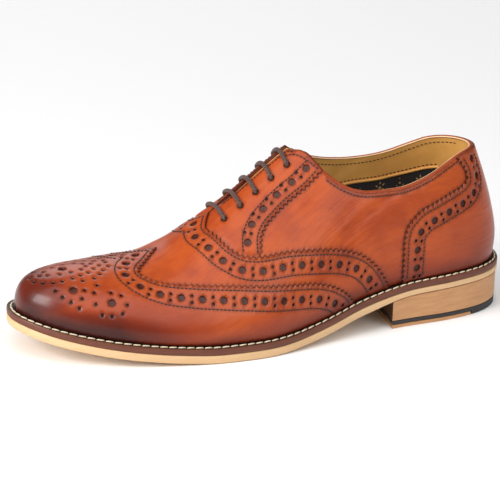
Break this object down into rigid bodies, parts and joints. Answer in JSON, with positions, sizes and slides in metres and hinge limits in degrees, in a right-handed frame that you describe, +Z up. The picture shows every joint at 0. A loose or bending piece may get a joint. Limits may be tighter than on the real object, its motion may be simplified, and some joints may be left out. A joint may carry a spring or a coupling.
{
  "type": "brogue shoe",
  "caption": "Low laced leather shoe for the left foot, with a wing toe cap, punched and pinked edges, closed facings, welted leather sole and stacked heel.",
  "frame": {"origin": "middle of the shoe's box, on the plane it stands on", "axes": "+X from toe to heel, -Y to the outer side of the left foot, +Z up"},
  "size_m": [0.3, 0.1051, 0.1035],
  "materials": {
    "tan_leather": "polished cognac calf leather, burnished at the seams",
    "toe_leather": "polished leather, burnished dark towards the toe",
    "welt_leather": "dark brown edge-dressed leather with pale stitches",
    "sole_leather": "pale natural sole leather, waxed edge",
    "heel_leather": "pale stacked heel with a wood-like grain",
    "black_rubber": "matt black rubber",
    "sock": "black printed sock with a small gold pattern",
    "lace": "waxed round dark brown cord"
  },
  "bodies": {
    "root": {"eyestay_lateral": "tan_leather", "eyestay_medial": "tan_leather", "heel_block": "heel_leather", "heel_counter": "tan_leather", "heel_rubber": "black_rubber", "heel_wedge": "heel_leather", "insole": "sock", "lace_bar_1": "lace", "lace_bar_2": "lace", "lace_bar_3": "lace", "lace_bar_4": "lace", "lace_bar_5": "lace", "outsole": "sole_leather", "tongue": "tan_leather", "upper": "tan_leather", "welt": "welt_leather", "wing_cap": "toe_leather"}
  },
  "joints": []
}
